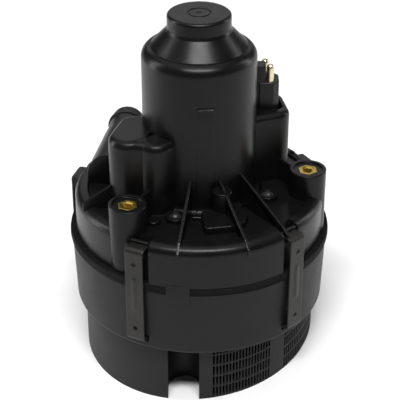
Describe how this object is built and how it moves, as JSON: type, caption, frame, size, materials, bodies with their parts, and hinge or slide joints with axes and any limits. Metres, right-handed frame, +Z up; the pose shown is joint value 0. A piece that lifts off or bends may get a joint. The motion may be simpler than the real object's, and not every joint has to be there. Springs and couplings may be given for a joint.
{
  "type": "electric air pump",
  "caption": "Electric blower: a DC motor tower on a round clip-fastened fan housing with a slotted intake base, a side hose spigot, a socket and a threaded-boss mount.",
  "frame": {"origin": "where the rotor axis meets the slanted bottom face of the intake base", "axes": "+Z up the rotor axis towards the cap, -Y towards the U-shaped groove, +X towards the electrical socket"},
  "size_m": [0.1441, 0.1447, 0.2019],
  "materials": {
    "cover_plastic": "satin, lightly grained",
    "housing_plastic": "satin, lightly grained",
    "base_plastic": "satin, lightly grained",
    "seal_rubber": "matt moulded",
    "soft_rubber": "matt moulded",
    "insert_brass": "turned",
    "gilt_brass": "bright plated",
    "insulator_plastic": "satin",
    "clip_steel": "black coated, scuffed at the edges",
    "plated_fasteners": "zinc plated",
    "plated_steel": "drawn and plated",
    "ferrite": "sintered",
    "brush_plate_plastic": "glass-filled moulding",
    "spring_steel": "wire",
    "copper_bars": "stamped",
    "choke_wire": "enamelled",
    "capacitor_case": "gloss",
    "bearing_steel": "ground",
    "ground_steel": "ground",
    "laminated_iron": "stacked laminations",
    "enamelled_wire": "varnished",
    "commutator_copper": "turned",
    "wheel_plastic": "glass-filled moulding",
    "stage_plastic": "satin",
    "filter_foam": "open-cell foam",
    "carbon": "pressed carbon"
  },
  "bodies": {
    "housing": {"motor_cover": "cover_plastic", "mounting_inserts": "insert_brass", "cover_seal": "seal_rubber", "fan_ring": "housing_plastic", "intake_base": "base_plastic", "intake_filter": "filter_foam", "stage_plate": "stage_plastic", "base_screws": "plated_fasteners", "deck_screws": "plated_fasteners", "connector_block": "insulator_plastic", "terminal_pins": "gilt_brass", "outlet_seal_ring": "soft_rubber", "motor_mount_plate": "plated_steel", "motor_can": "plated_steel", "field_magnets": "ferrite", "damper_rings": "soft_rubber", "brush_plate": "brush_plate_plastic", "brush_springs": "spring_steel", "bus_bars": "copper_bars", "suppression_chokes": "choke_wire", "suppression_capacitor": "capacitor_case", "lower_bearing_outer": "bearing_steel", "upper_bearing_outer": "bearing_steel"},
    "rotor": {"rotor_shaft": "ground_steel", "armature_core": "laminated_iron", "armature_windings": "enamelled_wire", "commutator": "commutator_copper", "lower_impeller": "wheel_plastic", "upper_impeller": "wheel_plastic", "impeller_spacer": "ground_steel", "impeller_washer": "plated_fasteners", "impeller_nut": "plated_fasteners", "lower_bearing_inner": "bearing_steel", "upper_bearing_inner": "bearing_steel"},
    "lower_ball_cage": {"lower_bearing_balls": "bearing_steel"},
    "upper_ball_cage": {"upper_bearing_balls": "bearing_steel"},
    "front_brush": {"brush_1": "carbon"},
    "rear_brush": {"brush_2": "carbon"},
    "clip_1_body": {"clip_1": "clip_steel"},
    "clip_2_body": {"clip_2": "clip_steel"},
    "clip_3_body": {"clip_3": "clip_steel"},
    "clip_4_body": {"clip_4": "clip_steel"},
    "clip_5_body": {"clip_5": "clip_steel"}
  },
  "joints": [
    {"name": "rotor_spin", "type": "hinge", "parent": "housing", "child": "rotor", "pos_m": [0, 0, 0.06], "axis": [0, 0, 1], "continuous": true},
    {"name": "lower_balls_orbit", "type": "hinge", "parent": "housing", "child": "lower_ball_cage", "pos_m": [0, 0, 0.09], "axis": [0, 0, 1], "continuous": true},
    {"name": "upper_balls_orbit", "type": "hinge", "parent": "housing", "child": "upper_ball_cage", "pos_m": [0, 0, 0.17], "axis": [0, 0, 1], "continuous": true},
    {"name": "front_brush_slide", "type": "slide", "parent": "housing", "child": "front_brush", "axis": [0, -1, 0], "range_m": [0, 0.0015], "stiffness_N_per_m": 150, "springref_m": -0.001},
    {"name": "rear_brush_slide", "type": "slide", "parent": "housing", "child": "rear_brush", "axis": [0, 1, 0], "range_m": [0, 0.0015], "stiffness_N_per_m": 150, "springref_m": -0.001},
    {"name": "clip_1_swing", "type": "hinge", "parent": "housing", "child": "clip_1_body", "pos_m": [-0.03168, -0.06085, 0.034], "axis": [0.887, -0.4617, 0], "range_deg": [0, 20], "stiffness_Nm_per_rad": 0.05, "springref_deg": -17.19},
    {"name": "clip_2_swing", "type": "hinge", "parent": "housing", "child": "clip_2_body", "pos_m": [0.04808, -0.04893, 0.034], "axis": [0.7133, 0.7009, 0], "range_deg": [0, 20], "stiffness_Nm_per_rad": 0.05, "springref_deg": -17.19},
    {"name": "clip_3_swing", "type": "hinge", "parent": "housing", "child": "clip_3_body", "pos_m": [0.05971, 0.03378, 0.034], "axis": [-0.4924, 0.8704, 0], "range_deg": [0, 20], "stiffness_Nm_per_rad": 0.05, "springref_deg": -17.19},
    {"name": "clip_4_swing", "type": "hinge", "parent": "housing", "child": "clip_4_body", "pos_m": [-0.00955, 0.06793, 0.034], "axis": [-0.9903, -0.1392, 0], "range_deg": [0, 20], "stiffness_Nm_per_rad": 0.05, "springref_deg": -17.19},
    {"name": "clip_5_swing", "type": "hinge", "parent": "housing", "child": "clip_5_body", "pos_m": [-0.0661, 0.01833, 0.034], "axis": [-0.2672, -0.9636, 0], "range_deg": [0, 20], "stiffness_Nm_per_rad": 0.05, "springref_deg": -17.19}
  ],
  "couplings": [
    {"joint": "lower_balls_orbit", "follows": "rotor_spin", "ratio": 0.4},
    {"joint": "upper_balls_orbit", "follows": "rotor_spin", "ratio": 0.4}
  ]
}
